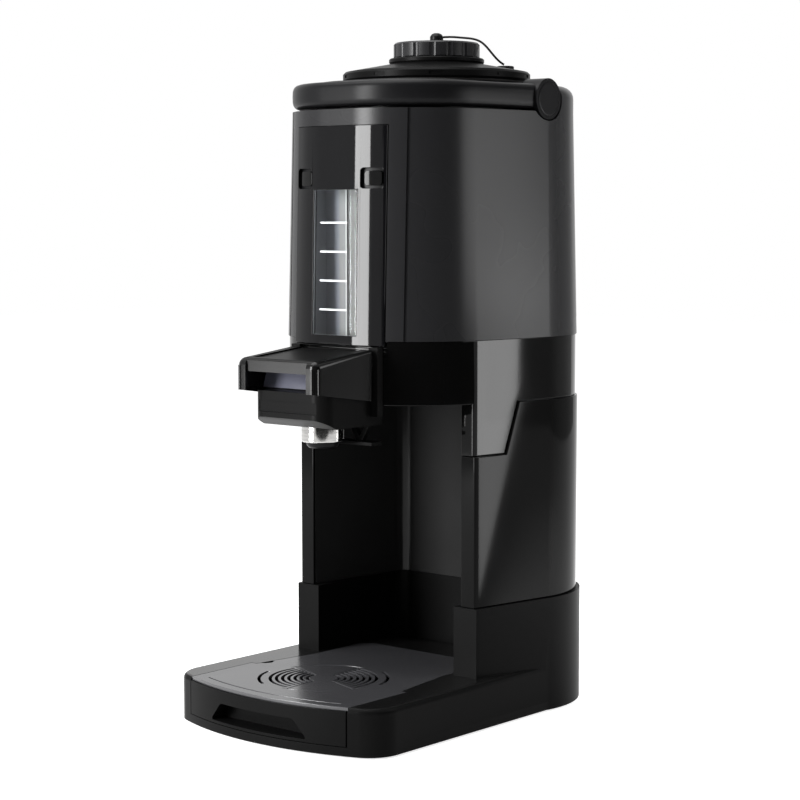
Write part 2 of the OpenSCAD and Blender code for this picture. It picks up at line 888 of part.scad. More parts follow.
// Vessel skins, revolved about the lid axis
module vessel_skin(r, r_neck, z0, z_shoulder, z_neck, z_lip) {
    corner = 14;
    rotate_extrude() difference() {
        polygon([[0, z0], [r - corner, z0], [r, z0 + corner], [r, z_shoulder],
            [r_neck, z_neck], [r_neck, z_lip],
            [0, z_lip]]);
        polygon([[-1, z0 + vessel_wall], [r - corner, z0 + vessel_wall], [r - vessel_wall, z0 + corner],
            [r - vessel_wall, z_shoulder - vessel_wall / 2], [r_neck - vessel_wall, z_neck - vessel_wall / 2],
            [r_neck - vessel_wall, z_lip + 1], [-1, z_lip + 1]]);
    }
}

module outlet_hole() {
    translate([0, -vessel_r + 27, 0]) cylinder(r = pipe_r, h = vessel_z0 + vessel_gap + 3);
}

module vessel_outer() {
    color("#b9bcbf") difference() {
        vessel_skin(vessel_r, neck_r + vessel_wall, vessel_z0, body_z1 - 24, body_z1 - 6, ring_z - 1);
        outlet_hole();
    }
}

module inner_skin() {
    vessel_skin(vessel_r - vessel_gap, neck_r, vessel_z0 + vessel_gap,
        body_z1 - 30, body_z1 - 10, ring_z - 1);
}

module above_neck_weld() {
    translate([0, 0, neck_weld_z]) cylinder(r = vessel_r + 1, h = far);
}

module vessel_inner() {
    color("#c8cbcd") difference() {
        inner_skin();
        outlet_hole();
        above_neck_weld();
    }
}

module above_mouth_weld() {
    translate([0, 0, mouth_weld_z]) cylinder(r = vessel_r + 1, h = far);
}

module vessel_neck() {
    color("#c8cbcd") intersection() {
        inner_skin();
        difference() {
            above_neck_weld();
            above_mouth_weld();
        }
    }
}

module vessel_mouth() {
    color("#c8cbcd") intersection() {
        inner_skin();
        above_mouth_weld();
    }
}

module shoulder_ring() {
    ring_inset = -body_taper - band_inset;
    bore_r = neck_r + vessel_wall + neck_fit;
    color("#161617") difference() {
        union() {
            plan_block(-body_taper - body_wall, body_z1 - deck_t, body_z1);
            rounded_band(ring_inset, body_z1 - deck_t, ring_z, ring_wall);
        }
        translate([0, 0, body_z1 - far / 2]) cylinder(r = bore_r, h = far);
        // hollow under the ring
        difference() {
            plan_block(ring_inset - ring_wall, body_z1 - deck_t - 1, ring_z - ring_wall);
            cylinder(r = bore_r + ring_wall, h = far * 2);
            for (side = [-1, 1])
                x_rod(pivot_r + 4, side * hub_in / 2, side * hub_in / 2 + hub_in, hub_y, hub_z);
        }
        for (side = [-1, 1])
            translate([side * (hub_in - hub_fit), hub_y, hub_z]) rotate([0, side * 90, 0])
                cylinder(r = hub_r + hub_fit, h = far / 2);
        for (side = [-1, 1])
            translate([side * (bore_r + 1), hub_y, hub_z]) rotate([0, side * 90, 0])
                cylinder(r = pivot_r, h = far / 2);
    }
}

module pivot_pins() {
    pin_in = neck_r + vessel_wall + neck_fit + 1;
    color("#8c8f92") for (side = [-1, 1])
        translate([side * pin_in, hub_y, hub_z]) rotate([0, side * 90, 0])
            cylinder(r = pivot_r, h = hub_half_w - 4 - pin_in);
}

// Handle path: from the right hub round the front to the left hub, as [point, outward normal]
function handle_path(grow) =
    let (first = atan2(side_normal.y, side_normal.x),
        tn = [nose_x, -nose_y] + side_normal * (nose_r + grow),
        tr = [rear_x, rear_y] + side_normal * (rear_r + grow),
        start = tn + (tr - tn) * (hub_y - tn.y) / (tr.y - tn.y),
        right = concat(
            [for (i = [0 : 3]) [start + (tn - start) * i / 4, side_normal]],
            [for (i = [0 : handle_steps]) let (a = first + (-90 - first) * i / handle_steps)
                [[nose_x, -nose_y] + (nose_r + grow) * [cos(a), sin(a)], [cos(a), sin(a)]]]),
        left = [for (i = [len(right) - 1 : -1 : 0])
            [[-right[i][0].x, right[i][0].y], [-right[i][1].x, right[i][1].y]]])
    concat(right, left);

function soft_power(v, e) = sign(v) * pow(abs(v), e);

module handle_band() {
    path = handle_path(-body_taper - handle_w / 2);
    mid_z = (handle_z0 + handle_z1) / 2;
    points = [for (p = path) for (j = [0 : handle_ring - 1])
        let (t = 360 * j / handle_ring,
            out = handle_w / 2 * soft_power(cos(t), handle_round),
            up = handle_h / 2 * soft_power(sin(t), handle_round))
        [p[0].x + p[1].x * out, p[0].y + p[1].y * out, mid_z + up]];
    rings = len(path);
    sides = [for (i = [0 : rings - 2]) for (j = [0 : handle_ring - 1])
        let (k = (j + 1) % handle_ring)
        each [[i * handle_ring + j, (i + 1) * handle_ring + j, (i + 1) * handle_ring + k],
            [i * handle_ring + j, (i + 1) * handle_ring + k, i * handle_ring + k]]];
    start_cap = [for (j = [0 : handle_ring - 1]) j];
    end_cap = [for (j = [handle_ring - 1 : -1 : 0]) (rings - 1) * handle_ring + j];
    polyhedron(points, concat(sides, [start_cap, end_cap]));
}

module carry_handle() {
    cap_r = hub_r - 3;
    cap_d = 1.6;
    color("#131314") difference() {
        union() {
            handle_band();
            for (side = [-1, 1])
                translate([side * hub_in, hub_y, hub_z]) rotate([0, side * 90, 0])
                    cylinder(r = hub_r, h = hub_half_w - hub_in);
        }
        for (side = [-1, 1]) {
            translate([side * (hub_in - 5), hub_y, hub_z]) rotate([0, side * 90, 0])
                cylinder(r = pivot_r + clear / 2, h = hub_half_w - hub_in + 2);
            translate([side * (hub_half_w - cap_d), hub_y, hub_z]) rotate([0, side * 90, 0])
                cylinder(r = cap_r, h = far / 2);
        }
    }
}

module hub_caps() {
    cap_r = hub_r - 3 - clear / 4;
    color("#0f0f10") for (side = [-1, 1])
        translate([side * (hub_half_w - 1.6), hub_y, hub_z]) rotate([0, side * 90, 0]) {
            cylinder(r = cap_r, h = 1.6);
            translate([0, 0, 1.6]) cylinder(r1 = cap_r, r2 = cap_r - 1.5, h = 0.8);
        }
}

// Lid group

module lid() {
    grip_count = 10;
    rim_round = 2;
    color("#141415") difference() {
        rotate_extrude() polygon([[neck_out_r, lid_z0 - plug_h], [plug_r - 3, lid_z0 - plug_h],
            [plug_r, lid_z0 - plug_h + 3],
            [plug_r, lid_z0], [lid_r - rim_round, lid_z0], [lid_r, lid_z0 + rim_round],
            [lid_r, lid_z1 - rim_round], [lid_r - rim_round, lid_z1], [flange_r + 1, flange_z0],
            [flange_r - 1, flange_z0 + 1], [flange_r, flange_z0 + 2], [flange_r, flange_z1 - 1],
            [flange_r - 1, flange_z1], [neck_out_r, flange_z1]]);
        for (i = [0 : grip_count - 1])
            rotate(i * 360 / grip_count + 21) translate([lid_r - 1, -6, lid_z0 + 3.2]) cube([3, 12, 2.6]);
        // hollow of the lid
        rotate_extrude() polygon([[neck_out_r + 3, lid_z0 - plug_h + 3], [plug_r - 4, lid_z0 - plug_h + 3],
            [plug_r - 4, lid_z1 - 3.5], [flange_r, flange_z0 - 3.5], [neck_out_r + 3, flange_z0 - 3.5]]);
        rotate(anchor_turn) translate([anchor_r, 0, lid_z1 - 2]) cylinder(r = 2, h = far);
    }
}

// Neck that the fill cap screws on, set into the lid
module neck_insert() {
    color("#141415") ring(neck_out_r, fill_r, lid_z0 - plug_h, neck_top);
}

module lid_gasket() {
    color("#2c2c2e") ring(lid_r - 2, neck_r + 1.5, ring_z + 0.3, lid_z0);
}

module fill_cap() {
    wall = 3;
    flute_r = 5.2;
    edge = 1.5;
    inner_r = cap_r - wall - 1;
    color("#171718") difference() {
        rotate_extrude() polygon([[0, cap_roof], [inner_r, cap_roof], [inner_r, cap_z0],
            [cap_r - 0.6, cap_z0],
            [cap_r, cap_z0 + 0.6], [cap_r, cap_z1 - edge], [cap_r - edge, cap_z1],
            [cap_r * 0.6, cap_z1 + cap_dome * 0.75], [0, cap_z1 + cap_dome]]);
        for (i = [0 : cap_flutes - 1])
            rotate((i + 0.5) * 360 / cap_flutes) translate([cap_r + flute_r - 1.1, 0, cap_z0 - 1])
                cylinder(r = flute_r, h = cap_h - edge + 1);
        translate([0, 0, cap_roof - 1]) cylinder(r = 2.3, h = far);
    }
}

module cap_gasket() {
    color("#2c2c2e") ring(neck_out_r, fill_r, neck_top + clear / 2, cap_roof);
}

module cap_knob() {
    stem = 2;
    base_z = cap_roof - 1.5;
    top_z = cap_z1 + cap_dome + knob_h;
    color("#101011") {
        rotate_extrude() polygon([[0, base_z], [stem + 1.6, base_z], [stem + 1.6, base_z + 1.2],
            [stem, base_z + 1.2], [stem, cap_z1 + cap_dome + 0.3],
            [knob_r - 1, cap_z1 + cap_dome + 0.3], [knob_r, cap_z1 + cap_dome + 1.3],
            [knob_r, top_z - 3], [knob_r - 1.5, top_z - 1], [knob_r - 3.5, top_z], [0, top_z]]);
    }
}

// Upper face of the lid's cone at a radius
function lid_face(r) = lid_z1 + lid_cone_h * (lid_r - 2 - r) / (lid_r - 2 - flange_r - 1);

module tether_anchor() {
    pad_r = 8;
    pad_z = lid_face(anchor_r - pad_r) + 1;
    color("#101011") difference() {
        rotate(anchor_turn) translate([anchor_r, 0, 0]) {
            translate([0, 0, lid_z1 - 1.5]) cylinder(r = 1.7, h = pad_z - lid_z1);
            translate([0, 0, pad_z - 4]) cylinder(r = pad_r, h = 3.4);
            translate([0, 0, pad_z - 0.6]) cylinder(r1 = pad_r, r2 = pad_r - 1, h = 0.6);
        }
        // seat on the lid's cone, left open for the post
        difference() {
            rotate_extrude() polygon([[0, lid_z0], [lid_r, lid_z0], [lid_r, lid_face(lid_r)],
                [flange_r, lid_face(flange_r)], [0, lid_face(flange_r)]]);
            rotate(anchor_turn) translate([anchor_r, 0, 0]) cylinder(r = 1.8, h = far * 2);
        }
    }
}

// Tether route in the vertical plane through the knob and the anchor, as [distance, height above the cap]
tether_route = [[6, 4], [11, 4.2], [16, 4.1], [21, 3.7], [26, 2.9], [30, 2.2], [34, 1.2],
    [37.6, -0.3], [41, -2.4],
    [44, -5], [47, -8.1], [50.5, -11.9], [54, -15.3], [57.5, -18.2], [61, -20.6]];
tether_sides = 8;

module tether() {
    base_z = cap_z1 + cap_dome;
    n = len(tether_route);
    rings = [for (i = [0 : n - 1])
        let (before = tether_route[max(i - 1, 0)], after = tether_route[min(i + 1, n - 1)],
            along = (after - before) / norm(after - before), here = tether_route[i])
        for (j = [0 : tether_sides - 1])
            let (a = 360 * j / tether_sides)
            [here.x - along.y * tether_r * cos(a), tether_r * sin(a),
                base_z + here.y + along.x * tether_r * cos(a)]];
    sides = [for (i = [0 : n - 2]) for (j = [0 : tether_sides - 1])
        let (k = (j + 1) % tether_sides)
        each [[i * tether_sides + j, (i + 1) * tether_sides + k, (i + 1) * tether_sides + j],
            [i * tether_sides + j, i * tether_sides + k, (i + 1) * tether_sides + k]]];
    start_cap = [for (j = [tether_sides - 1 : -1 : 0]) j];
    end_cap = [for (j = [0 : tether_sides - 1]) (n - 1) * tether_sides + j];
    color("#0b0b0b") rotate(anchor_turn) polyhedron(rings, concat(sides, [start_cap, end_cap]));
}

// Tap

module outlet_pipe() {
    drop_y = -vessel_r + 27;
    pipe_end = nose_front + 4;
    color("#9a9da0") difference() {
        union() {
            y_rod(pipe_r, -pipe_end, drop_y, 0, pipe_z);
            translate([0, drop_y, pipe_z]) sphere(pipe_r);
            translate([0, drop_y, pipe_z])
                cylinder(r = pipe_r, h = vessel_z0 + vessel_gap + vessel_wall - pipe_z);
            translate([tube_x, -tube_y, pipe_z]) cylinder(r = tube_r, h = gauge_z0 - 6 - pipe_z);
        }
        y_rod(pipe_bore_r, -pipe_end - 1, drop_y, 0, pipe_z);
        translate([0, drop_y, pipe_z - pipe_bore_r / 2]) cylinder(r = pipe_bore_r, h = far);
        translate([tube_x, -tube_y, pipe_z]) cylinder(r = tube_r - tube_wall, h = far);
    }
}

module outlet_nut() {
    color("#7f8285") difference() {
        translate([0, -nose_front + 1 + stand_wall, pipe_z]) rotate([-90, 0, 0])
            cylinder(r = pipe_nut_r, h = pipe_nut_t, $fn = 6);
        y_rod(pipe_r, -far, 0, 0, pipe_z);
    }
}

// Steep face of the tap housing above its ledge: distance ahead of the lid axis at a height
function ledge_face(z) = tap_front - ledge_d - ledge_lean * (z - ledge_z) / (tap_top - ledge_z);

// Side view of the tap housing, extruded across
module tap_side(half_w) {
    under = nose_front - 14;
    behind_wall = nose_front - 6;
    rotate([90, 0, 90]) translate([0, 0, -half_w]) linear_extrude(2 * half_w)
        polygon([[-tap_front, tap_low + tap_chamfer], [-tap_front + 2 * tap_chamfer, tap_low],
            [-under, tap_low], [-under, seat_z], [-behind_wall, seat_z], [-behind_wall, tap_top],
            [-ledge_face(tap_top), tap_top],
            [-ledge_face(ledge_z), ledge_z], [-tap_front, ledge_z - plate_t]]);
}

// Mounting rails on the lower housing, beside the tap
module tap_rails() {
    rail_half_w = lever_half_w + 3.5;
    rail_in = tap_half_w - 2;
    rail_gap = 0.15;
    difference() {
        for (side = [-1, 1])
            translate([side * (rail_in + rail_half_w) / 2, 0, 0])
                box([(rail_in - rail_half_w) / 2, -nose_front - clear, seat_z - 9],
                    [(rail_half_w - rail_in) / 2, -nose_y, panel_low - 1.2]);
        plan_block(rail_gap, 0, far);
    }
}

module tap_housing() {
    corner = 14;
    pin_depth = 9;
    panel_edge = 9;
    panel_d = 1.6;
    color("#161617") tap_rails();
    color("#161617") difference() {
        intersection() {
            tap_side(tap_half_w);
            translate([0, 0, tap_low - 1]) linear_extrude(far) {
                translate([-tap_half_w + corner, -tap_front]) square([2 * (tap_half_w - corner), far]);
                translate([-tap_half_w, -tap_front + corner]) square([2 * tap_half_w, far]);
                for (side = [-1, 1])
                    translate([side * (tap_half_w - corner), -tap_front + corner]) circle(corner);
            }
        }
        plan_block(-1, seat_z, body_z0);
        translate([0, -nozzle_y, tap_low - 1]) cylinder(r = valve_r, h = seat_low - tap_low + 1);
        translate([0, -nozzle_y, seat_low - 1]) cylinder(r = seat_r, h = seat_high - seat_low + 2);
        translate([0, -nozzle_y, seat_high]) cylinder(r = valve_r, h = valve_roof - seat_high);
        translate([0, -nozzle_y, seat_high]) cylinder(r = stem_r + clear / 2, h = far);
        y_rod(pipe_r, -nozzle_y + 1, 0, 0, pipe_z);
        for (side = [-1, 1])
            translate([side * (tap_half_w - pin_depth), -pin_y, pin_z]) rotate([0, side * 90, 0])
                cylinder(r = pin_r, h = far);
        // inset panel on the front
        box([-tap_half_w + panel_edge, -far, tap_low + tap_chamfer + panel_edge / 2],
            [tap_half_w - panel_edge, -tap_front + panel_d, ledge_z - panel_edge]);
    }
}

// Glossy plate on the steep face behind the lever's lip
module tap_plate() {
    edge = 1;
    half_w = tap_half_w - 1;
    low = ledge_z + edge / 2;
    high = tap_top - edge;
    color("#3a3d48") rotate([90, 0, 90]) translate([0, 0, -half_w]) linear_extrude(2 * half_w)
        polygon([[-ledge_face(low), low], [-ledge_face(low) - plate_t, low],
            [-ledge_face(high) - plate_t, high],
            [-ledge_face(high), high]]);
}

// Bar behind the nozzle with a strut on each side
module tap_bracket() {
    strut_t = 5;
    strut_w = 4;
    strut_x = 22;
    strut_spread = 10;
    foot_z = nozzle_z0 - bracket_t;
    strut = [[-strut_w / 2, foot_z + 1], [strut_w / 2, foot_z + 1], [strut_spread + strut_w / 2, tap_low],
        [strut_spread - strut_w / 2, tap_low], [0, foot_z + 2 * strut_w], [strut_w / 2 - strut_spread, tap_low],
        [-strut_spread - strut_w / 2, tap_low]];
    color("#121213") {
        box([-bracket_half_w, -bracket_y0, foot_z], [bracket_half_w, -bracket_y1, foot_z + bracket_t]);
        for (side = [-1, 1])
            translate([side * strut_x, (strut_t - bracket_y0 - bracket_y1) / 2, 0]) rotate([90, 0, 0])
                linear_extrude(strut_t) polygon(strut);
    }
}

module chrome_nozzle() {
    lip = 1;
    color("#d9dbdd") translate([0, -nozzle_y, 0]) rotate_extrude()
        polygon([[nozzle_r - nozzle_wall, nozzle_z0], [nozzle_r - lip, nozzle_z0],
            [nozzle_r, nozzle_z0 + lip],
            [nozzle_r, tap_low - lip], [nozzle_r - lip, tap_low], [nozzle_r - nozzle_wall, tap_low]]);
}

module diffuser() {
    outlet_r = nozzle_r - nozzle_wall;
    mouth_r = 7;
    drop = 5;
    color("#0e0e0f") translate([0, -nozzle_y, 0]) rotate_extrude()
        polygon([[mouth_r, nozzle_z0 - drop], [outlet_r - 3.5, nozzle_z0 - drop],
            [outlet_r - 2, nozzle_z0 - drop + 1.5], [outlet_r - 1, nozzle_z0], [outlet_r, nozzle_z0 + 0.8],
            [outlet_r, tap_low - 5], [outlet_r - 2, tap_low - 5],
            [mouth_r, nozzle_z0 + 3]]);
}

// Rounded lever block, tapered towards the front
module lever_block(inset, top_inset) {
    r0 = lever_round - inset / 2;
    r1 = lever_rear_round - inset / 2;
    x0 = lever_half_w - inset - r0;
    x1 = lever_half_w - inset - r1;
    y0 = -lever_front + inset + r0;
    y1 = -lever_back - inset - r1;
    hull() for (side = [-1, 1]) {
        translate([side * x0, y0, lever_top - lever_fall - top_inset - r0]) sphere(r0, $fn = 32);
        translate([side * x1, y1, lever_top - top_inset - r1]) sphere(r1, $fn = 32);
        translate([side * x0, y0, lever_low - 2]) cylinder(r = r0, h = 1, $fn = 32);
        translate([side * x1, y1, lever_low - 2]) cylinder(r = r1, h = 1, $fn = 32);
    }
}

// Height of the lever's top at a distance ahead of the lid axis
function lever_face(y) = lever_top - lever_fall * (y - lever_back - lever_rear_round)
    / (lever_front - lever_back - lever_round - lever_rear_round);

module push_lever() {
    rib_r = 1.5;
    rib_sink = 0.3;
    lip_back = 2;
    top_sink = 1.2;
    rail_front = 9;
    boss_r = 6;
    inner_w = lever_half_w - lever_wall;
    open_w = lever_half_w - lever_cheek;
    lip_low = lever_top - lever_fall - lever_lip_h;
    color("#121213") difference() {
        union() {
            difference() {
                lever_block(0, 0);
                lever_block(lever_wall, lever_wall);
            }
            // boss that meets the valve stem
            intersection() {
                translate([0, -nozzle_y, stem_top]) cylinder(r = boss_r, h = far);
                lever_block(0, 0);
            }
            // ribs on the front corners
            for (side = [-1, 1], a = [-20, -70])
                translate([side * (lever_half_w - lever_round), -lever_front + lever_round, lever_low])
                    translate((lever_round - rib_sink) * [side * cos(a), sin(a), 0])
                        cylinder(r = rib_r, h = lever_top - lever_fall - lever_round - lever_low);
            for (side = [-1, 1])
                translate([side * (tap_half_w + clear), -pin_y, pin_z]) rotate([0, side * 90, 0])
                    cylinder(r = pin_r + 2, h = lever_half_w - 1 - tap_half_w - clear);
        }
        // slanted lower edge
        rotate([90, 0, 90]) translate([0, 0, -far]) linear_extrude(2 * far)
            polygon([[-lever_front - 2, lever_front_low], [-lever_back + 2, lever_low],
                [-lever_back + 2, lever_low - far], [-lever_front - 2, lever_low - far]]);
        // open under the front lip and at the back
        box([-open_w, -far, lever_low - 1], [open_w, -lever_front + 2 * lever_round, lip_low]);
        // lip set back between the cheeks
        box([-open_w, -far, lip_low - 1], [open_w, -lever_front + lip_back, lever_top + 1]);
        // sunk top between the rails
        rotate([90, 0, 90]) translate([0, 0, -open_w]) linear_extrude(2 * open_w)
            polygon([[-lever_front + rail_front, lever_face(lever_front - rail_front) - top_sink],
                [1 - lever_back, lever_face(lever_back - 1) - top_sink], [1 - lever_back, lever_top + far],
                [-lever_front + rail_front, lever_top + far]]);
        box([-inner_w, -lever_back - lever_wall - 1, lever_low - 1],
            [inner_w, 0, lever_top - 2 * lever_wall]);
        for (side = [-1, 1])
            translate([side * tap_half_w, -pin_y, pin_z]) rotate([0, side * 90, 0])
                cylinder(r = pin_r + clear / 3, h = lever_half_w - pin_cover - tap_half_w);
    }
}

module lever_pins() {
    pin_depth = 9;
    color("#8c8f92") for (side = [-1, 1])
        translate([side * (tap_half_w - pin_depth), -pin_y, pin_z]) rotate([0, side * 90, 0])
            cylinder(r = pin_r, h = lever_half_w - pin_cover - clear - tap_half_w + pin_depth);
}

stem_top = lever_top - lever_wall - 5;
spring_z0 = seat_high;

module valve_stem() {
    color("#a4a7aa") translate([0, -nozzle_y, 0]) {
        translate([0, 0, seat_low - 4]) cylinder(r = stem_r, h = stem_top - 0.3 - seat_low + 4);
        translate([0, 0, spring_z0 + spring_h + 0.3]) cylinder(r = stem_collar_r, h = 3);
        translate([0, 0, seat_low - 6]) cylinder(r = stem_r + 2, h = 2);
    }
}

module valve_seal() {
    color("#3a3a3c") translate([0, -nozzle_y, 0]) ring(seal_r, stem_r, seat_low - 4, seat_low - 0.2);
}

// Valve spring: one tube wound on a helix, with its least gap between turns
spring_rise = (spring_h - 2 * spring_wire) / spring_turns;
spring_gap = spring_rise - spring_wire;
spring_rings = 12;
spring_sides = 6;

module return_spring() {
    n = spring_turns * spring_rings + 1;
    points = [for (i = [0 : n - 1])
        let (a = 360 * i / spring_rings, z = spring_z0 + spring_wire + spring_rise * i / spring_rings)
        for (j = [0 : spring_sides - 1])
            let (b = 360 * j / spring_sides, r = spring_r + spring_wire / 2 * cos(b))
            [r * cos(a), r * sin(a), z + spring_wire / 2 * sin(b)]];
    sides = [for (i = [0 : n - 2]) for (j = [0 : spring_sides - 1])
        let (k = (j + 1) % spring_sides)
        each [[i * spring_sides + j, (i + 1) * spring_sides + j, (i + 1) * spring_sides + k],
            [i * spring_sides + j, (i + 1) * spring_sides + k, i * spring_sides + k]]];
    start_cap = [for (j = [0 : spring_sides - 1]) j];
    end_cap = [for (j = [spring_sides - 1 : -1 : 0]) (n - 1) * spring_sides + j];
    echo(spring_least_gap = spring_gap);
    color("#b0b3b6") translate([0, -nozzle_y, 0]) polyhedron(points, concat(sides, [start_cap, end_cap]));
}

module place() {
    translate([0, axis_y, 0]) children();
}

place() base_plate();
place() rubber_feet();
place() base_screws();
place() stand_base();
place() stand_column();
place() bay_liner();
place() stand_deck();
place() drip_drawer();
place() drip_cover();
place() lower_collar();
place() container_floor();
place() floor_screws();
place() vessel_cradle();
place() body_shell();
place() front_frame();
place() gauge_plate();
place() sight_tube();
place() tube_seals();
place() gauge_cover();
place() gauge_latches();
place() gauge_window();
place() level_marks();
place() vessel_outer();
place() vessel_inner();
place() vessel_neck();
place() vessel_mouth();
place() shoulder_ring();
place() pivot_pins();
place() carry_handle();
place() hub_caps();
place() lid();
place() neck_insert();
place() lid_gasket();
place() fill_cap();
place() cap_gasket();
place() cap_knob();
place() tether_anchor();
place() tether();
place() outlet_pipe();
place() outlet_nut();
place() tap_housing();
place() tap_bracket();
place() chrome_nozzle();
place() diffuser();
place() push_lever();
place() tap_plate();
place() lever_pins();
place() valve_stem();
place() valve_seal();
place() return_spring();
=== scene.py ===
"""Looks of the thermal drink dispenser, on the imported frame: metres, +Z up, the tap faces -Y."""

import json
import math

import bmesh
import bpy
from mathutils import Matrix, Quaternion, Vector


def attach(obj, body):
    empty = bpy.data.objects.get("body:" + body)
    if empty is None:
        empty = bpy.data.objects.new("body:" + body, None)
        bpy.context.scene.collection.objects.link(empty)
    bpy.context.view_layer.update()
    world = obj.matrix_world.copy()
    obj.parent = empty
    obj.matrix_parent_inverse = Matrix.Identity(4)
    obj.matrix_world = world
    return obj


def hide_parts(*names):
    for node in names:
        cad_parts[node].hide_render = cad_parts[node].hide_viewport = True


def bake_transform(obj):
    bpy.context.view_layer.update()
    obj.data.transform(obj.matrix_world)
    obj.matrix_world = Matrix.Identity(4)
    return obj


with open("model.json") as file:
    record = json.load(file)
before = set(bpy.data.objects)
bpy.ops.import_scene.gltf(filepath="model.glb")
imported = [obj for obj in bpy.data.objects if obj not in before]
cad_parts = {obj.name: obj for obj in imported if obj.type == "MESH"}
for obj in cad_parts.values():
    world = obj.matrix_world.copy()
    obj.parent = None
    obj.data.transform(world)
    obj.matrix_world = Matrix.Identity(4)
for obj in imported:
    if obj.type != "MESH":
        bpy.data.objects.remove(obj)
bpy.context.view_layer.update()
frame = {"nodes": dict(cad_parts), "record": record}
nodes = frame["nodes"]
body_of_node = {n: body for body, names in frame["record"]["behaviour"]["bodies"].items() for n in names}

MM = 0.001
AXIS_Y = 61.5  # mm, the lid's axis behind the middle of the part


def at(x, y, z):
    """Millimetres about the lid's axis, as in the part's source, to the frame's metres."""
    return Vector((x * MM, (y + AXIS_Y) * MM, z * MM))


# Camera, fitted to the photograph: degrees, millimetres, and a focal length in pixels of the picture's width
VIEW_TURN, VIEW_TILT = 40.32, 5.08
VIEW_AWAY, VIEW_ASIDE, VIEW_HIGH = 1931.0, -33.05, 446.0
FOCAL_PX, PICTURE_PX, SENSOR_MM = 2115.4, 800.0, 36.0


def place_camera():
    """The photograph's view: right of the front, a little above the middle, looking slightly down."""
    turn, tilt = math.radians(VIEW_TURN), math.radians(VIEW_TILT)
    ahead = Vector((-math.sin(turn), math.cos(turn), 0))
    right = Vector((math.cos(turn), math.sin(turn), 0))
    spot = -VIEW_AWAY * ahead + VIEW_ASIDE * right
    data = bpy.data.cameras.new("photo_camera")
    data.sensor_width = SENSOR_MM
    data.lens = SENSOR_MM * FOCAL_PX / PICTURE_PX
    camera = bpy.data.objects.new("photo_camera", data)
    bpy.context.scene.collection.objects.link(camera)
    camera.location = at(spot.x, spot.y, VIEW_HIGH)
    look = ahead * math.cos(tilt) - Vector((0, 0, math.sin(tilt)))
    camera.rotation_mode = "QUATERNION"
    camera.rotation_quaternion = look.to_track_quat("-Z", "Y")
    bpy.context.scene.camera = camera


place_camera()


# Colour and shader nodes
def tone(code):
    """sRGB hex to linear RGBA."""
    parts = [int(code[i:i + 2], 16) / 255 for i in (1, 3, 5)]
    return tuple(c / 12.92 if c <= 0.04045 else ((c + 0.055) / 1.055) ** 2.4 for c in parts) + (1.0,)


def add(tree, kind, settings=None, links=None):
    """One shader node with its settings and its links, given as {socket: (node, output)}."""
    made = tree.nodes.new(kind)
    for key, value in (settings or {}).items():
        if isinstance(key, int) or key in made.inputs:
            made.inputs[key].default_value = value
        else:
            setattr(made, key, value)
    for socket, (source, output) in (links or {}).items():
        tree.links.new(source.outputs[output], made.inputs[socket])
    return made


def blank(name):
    """A new material with an empty node tree."""
    material = bpy.data.materials.new(name)
    material.use_nodes = True
    material.node_tree.nodes.clear()
    return material, material.node_tree


def ramp_ends(ramp, low, dark, high, light):
    """Sets the places and tones of a colour ramp's two ends."""
    ends = ramp.color_ramp.elements
    ends[0].position, ends[0].color = low, tone(dark)
    ends[1].position, ends[1].color = high, tone(light)


CLOUD_LOW, CLOUD_HIGH = 0.2, 0.8  # the part of a noise's range that tone and gloss follow
GRAIN_RELIEF = 0.2 * MM


def moulded(name, deep, pale, rough, ior, grain_mm, grain_depth, cloud_mm=60.0, spread=0.06):
    """A moulded plastic: a slow cloud in tone and gloss, and the fine spark-eroded grain of the mould."""
    material, tree = blank(name)
    where = add(tree, "ShaderNodeTexCoord")
    cloud = add(tree, "ShaderNodeTexNoise", {"Scale": 1000 / cloud_mm, "Detail": 3.0, "Roughness": 0.55},
                {"Vector": (where, "Object")})
    colour = add(tree, "ShaderNodeValToRGB", None, {"Fac": (cloud, "Fac")})
    ramp_ends(colour, CLOUD_LOW, deep, CLOUD_HIGH, pale)
    grain = add(tree, "ShaderNodeTexNoise", {"Scale": 1000 / grain_mm, "Detail": 2.0, "Roughness": 0.6},
                {"Vector": (where, "Object")})
    gloss = add(tree, "ShaderNodeMapRange",
                {"From Min": CLOUD_LOW, "From Max": CLOUD_HIGH, "To Min": rough - spread, "To Max": rough + spread},
                {"Value": (cloud, "Fac")})
    relief = add(tree, "ShaderNodeBump", {"Strength": grain_depth, "Distance": GRAIN_RELIEF},
                 {"Height": (grain, "Fac")})
    skin = add(tree, "ShaderNodeBsdfPrincipled", {"IOR": ior},
               {"Base Color": (colour, "Color"), "Roughness": (gloss, "Result"), "Normal": (relief, "Normal")})
    add(tree, "ShaderNodeOutputMaterial", None, {"Surface": (skin, "BSDF")})
    return material


# Satin ABS, spark-eroded mould: even dark grey-black with a soft broad sheen
satin_black = moulded("satin_abs_black", "#0b0b0c", "#101011", 0.33, 1.17, 1.6, 0.10, 90.0, 0.02)
# Matte ABS of the stand, the tap and the lid: darker and drier
stand_black = moulded("matte_abs_black", "#090909", "#0c0c0c", 0.36, 1.10, 1.6, 0.12, 90.0, 0.02)
# Polished ABS of the gauge cover: near-mirror black that shows the lamps as crisp strips
gloss_black = moulded("polished_abs_black", "#050506", "#080809", 0.06, 1.27, 2.4, 0.01, 90.0, 0.01)
# Polished ABS of the lower housing and the latches: the same mirror, a little deeper
deep_gloss = moulded("deep_gloss_abs_black", "#050505", "#070707", 0.045, 1.22, 2.4, 0.01, 90.0, 0.01)
# Semi-gloss ABS of the column: weaker strips, softer at their edges
semi_gloss = moulded("semi_gloss_abs_black", "#070707", "#0a0a0a", 0.05, 1.13, 2.0, 0.01, 120.0, 0.01)
